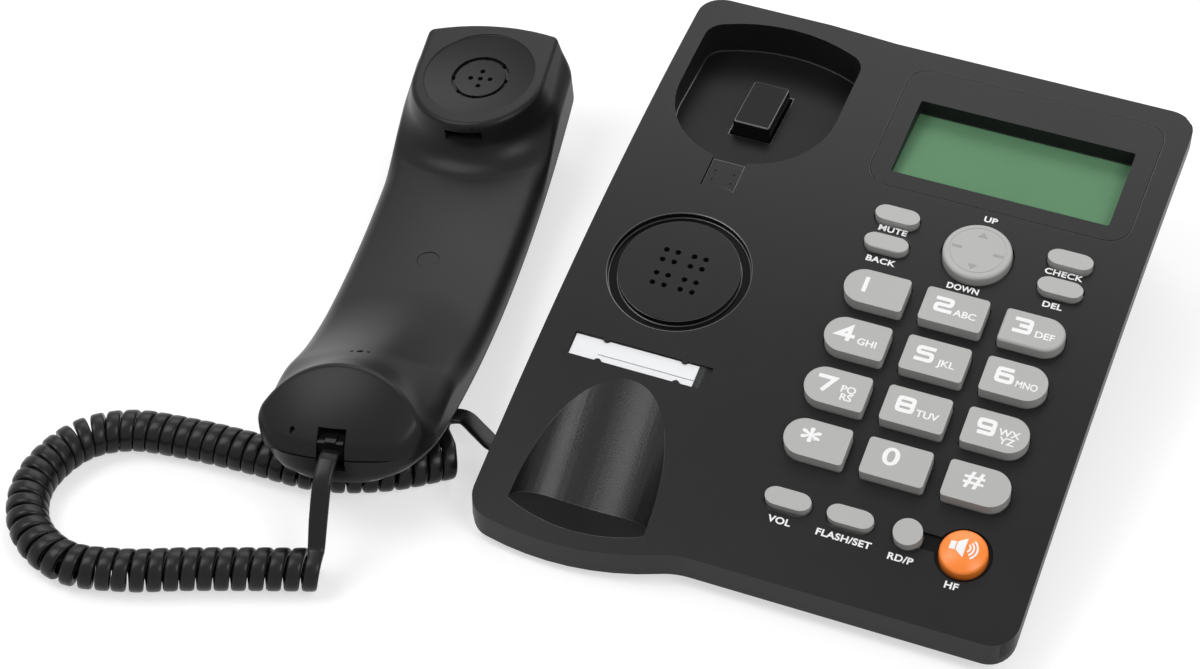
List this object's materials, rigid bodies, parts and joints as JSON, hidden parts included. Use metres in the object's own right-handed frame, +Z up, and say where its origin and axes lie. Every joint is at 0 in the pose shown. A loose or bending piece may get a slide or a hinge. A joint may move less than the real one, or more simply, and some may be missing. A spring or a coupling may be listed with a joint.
{
  "type": "corded telephone",
  "caption": "Desk telephone with an arched wedge base, grey keys, display and hook cradle, and a curved handset lying beside it on a curly cord.",
  "frame": {"origin": "on the table, below the middle of the base's deck and midway between its sides", "axes": "+X to the base's right as its user sees it, +Y to its rear, +Z up"},
  "size_m": [0.2885, 0.2613, 0.0497],
  "materials": {
    "black_case": "fine spark-eroded texture",
    "gloss_black": "smooth",
    "black_rubber": "matt",
    "cord_sleeve": "soft satin",
    "grey_key": "satin",
    "orange_key": "satin",
    "pale_rubber": "matt",
    "green_board": "solder mask",
    "green_display": "flat",
    "clear_window": "clear",
    "white_card": "paper",
    "steel": "plain"
  },
  "bodies": {
    "base": {"upper_case": "black_case", "lower_case": "black_case", "rubber_feet": "black_rubber", "case_screws": "steel", "main_board": "green_board", "board_screws": "steel", "keypad_membrane": "pale_rubber", "display_bezel": "black_case", "display_lens": "clear_window", "display_panel": "green_display", "hook_spring": "steel", "hook_switch": "gloss_black", "wall_hook_tab": "black_case", "loudspeaker": "gloss_black", "label_card": "white_card", "label_cover": "clear_window", "base_handset_jack": "gloss_black", "line_jack": "gloss_black", "base_end_plug": "gloss_black", "handset_cord": "cord_sleeve"},
    "handset": {"handset_front_shell": "black_case", "handset_back_shell": "black_case", "receiver_capsule": "steel", "microphone_capsule": "steel", "handset_weight": "steel", "handset_jack": "gloss_black", "handset_screw": "steel", "screw_plug": "black_case", "handset_end_plug": "gloss_black"},
    "hook_button": {"hook_button": "black_case"},
    "navigation_key": {"navigation_key": "grey_key"},
    "key_1": {"key_1": "grey_key"},
    "key_2": {"key_2": "grey_key"},
    "key_3": {"key_3": "grey_key"},
    "key_4": {"key_4": "grey_key"},
    "key_5": {"key_5": "grey_key"},
    "key_6": {"key_6": "grey_key"},
    "key_7": {"key_7": "grey_key"},
    "key_8": {"key_8": "grey_key"},
    "key_9": {"key_9": "grey_key"},
    "key_star": {"key_star": "grey_key"},
    "key_0": {"key_0": "grey_key"},
    "key_hash": {"key_hash": "grey_key"},
    "mute_key": {"mute_key": "grey_key"},
    "back_key": {"back_key": "grey_key"},
    "check_key": {"check_key": "grey_key"},
    "delete_key": {"delete_key": "grey_key"},
    "volume_key": {"volume_key": "grey_key"},
    "flash_key": {"flash_key": "grey_key"},
    "redial_key": {"redial_key": "grey_key"},
    "handsfree_key": {"handsfree_key": "orange_key"}
  },
  "joints": [
    {"name": "key_1_press", "type": "slide", "parent": "base", "child": "key_1", "axis": [0, 0.1813, -0.9834], "range_m": [0, 0.0012], "stiffness_N_per_m": 300},
    {"name": "key_2_press", "type": "slide", "parent": "base", "child": "key_2", "axis": [0, 0.1813, -0.9834], "range_m": [0, 0.0012], "stiffness_N_per_m": 300},
    {"name": "key_3_press", "type": "slide", "parent": "base", "child": "key_3", "axis": [0, 0.1813, -0.9834], "range_m": [0, 0.0012], "stiffness_N_per_m": 300},
    {"name": "key_4_press", "type": "slide", "parent": "base", "child": "key_4", "axis": [0, 0.2049, -0.9788], "range_m": [0, 0.0012], "stiffness_N_per_m": 300},
    {"name": "key_5_press", "type": "slide", "parent": "base", "child": "key_5", "axis": [0, 0.2049, -0.9788], "range_m": [0, 0.0012], "stiffness_N_per_m": 300},
    {"name": "key_6_press", "type": "slide", "parent": "base", "child": "key_6", "axis": [0, 0.2049, -0.9788], "range_m": [0, 0.0012], "stiffness_N_per_m": 300},
    {"name": "key_7_press", "type": "slide", "parent": "base", "child": "key_7", "axis": [0, 0.2283, -0.9736], "range_m": [0, 0.0012], "stiffness_N_per_m": 300},
    {"name": "key_8_press", "type": "slide", "parent": "base", "child": "key_8", "axis": [0, 0.2283, -0.9736], "range_m": [0, 0.0012], "stiffness_N_per_m": 300},
    {"name": "key_9_press", "type": "slide", "parent": "base", "child": "key_9", "axis": [0, 0.2283, -0.9736], "range_m": [0, 0.0012], "stiffness_N_per_m": 300},
    {"name": "key_star_press", "type": "slide", "parent": "base", "child": "key_star", "axis": [0, 0.2516, -0.9678], "range_m": [0, 0.0012], "stiffness_N_per_m": 300},
    {"name": "key_0_press", "type": "slide", "parent": "base", "child": "key_0", "axis": [0, 0.2516, -0.9678], "range_m": [0, 0.0012], "stiffness_N_per_m": 300},
    {"name": "key_hash_press", "type": "slide", "parent": "base", "child": "key_hash", "axis": [0, 0.2516, -0.9678], "range_m": [0, 0.0012], "stiffness_N_per_m": 300},
    {"name": "mute_key_press", "type": "slide", "parent": "base", "child": "mute_key", "axis": [0, 0.1426, -0.9898], "range_m": [0, 0.0012], "stiffness_N_per_m": 300},
    {"name": "back_key_press", "type": "slide", "parent": "base", "child": "back_key", "axis": [0, 0.1563, -0.9877], "range_m": [0, 0.0012], "stiffness_N_per_m": 300},
    {"name": "check_key_press", "type": "slide", "parent": "base", "child": "check_key", "axis": [0, 0.1426, -0.9898], "range_m": [0, 0.0012], "stiffness_N_per_m": 300},
    {"name": "delete_key_press", "type": "slide", "parent": "base", "child": "delete_key", "axis": [0, 0.1563, -0.9877], "range_m": [0, 0.0012], "stiffness_N_per_m": 300},
    {"name": "volume_key_press", "type": "slide", "parent": "base", "child": "volume_key", "axis": [0, 0.2764, -0.961], "range_m": [0, 0.0012], "stiffness_N_per_m": 300},
    {"name": "flash_key_press", "type": "slide", "parent": "base", "child": "flash_key", "axis": [0, 0.2764, -0.961], "range_m": [0, 0.0012], "stiffness_N_per_m": 300},
    {"name": "redial_key_press", "type": "slide", "parent": "base", "child": "redial_key", "axis": [0, 0.2765, -0.961], "range_m": [0, 0.0012], "stiffness_N_per_m": 300},
    {"name": "handsfree_key_press", "type": "slide", "parent": "base", "child": "handsfree_key", "axis": [0, 0.2778, -0.9606], "range_m": [0, 0.0012], "stiffness_N_per_m": 300},
    {"name": "navigation_key_rock", "type": "hinge", "parent": "base", "child": "navigation_key", "pos_m": [0.0329, 0.02285, 0.03893], "axis": [1, 0, 0], "range_deg": [-4, 4], "stiffness_Nm_per_rad": 0.3},
    {"name": "hook_button_press", "type": "slide", "parent": "base", "child": "hook_button", "axis": [0, 0, -1], "range_m": [0, 0.0045], "stiffness_N_per_m": 120, "deforming": ["hook_spring"]},
    {"name": "handset_lift", "type": "slide", "parent": "base", "child": "handset", "axis": [0, 0, 1], "range_m": [0, 0.12], "deforming": ["handset_cord"]}
  ]
}
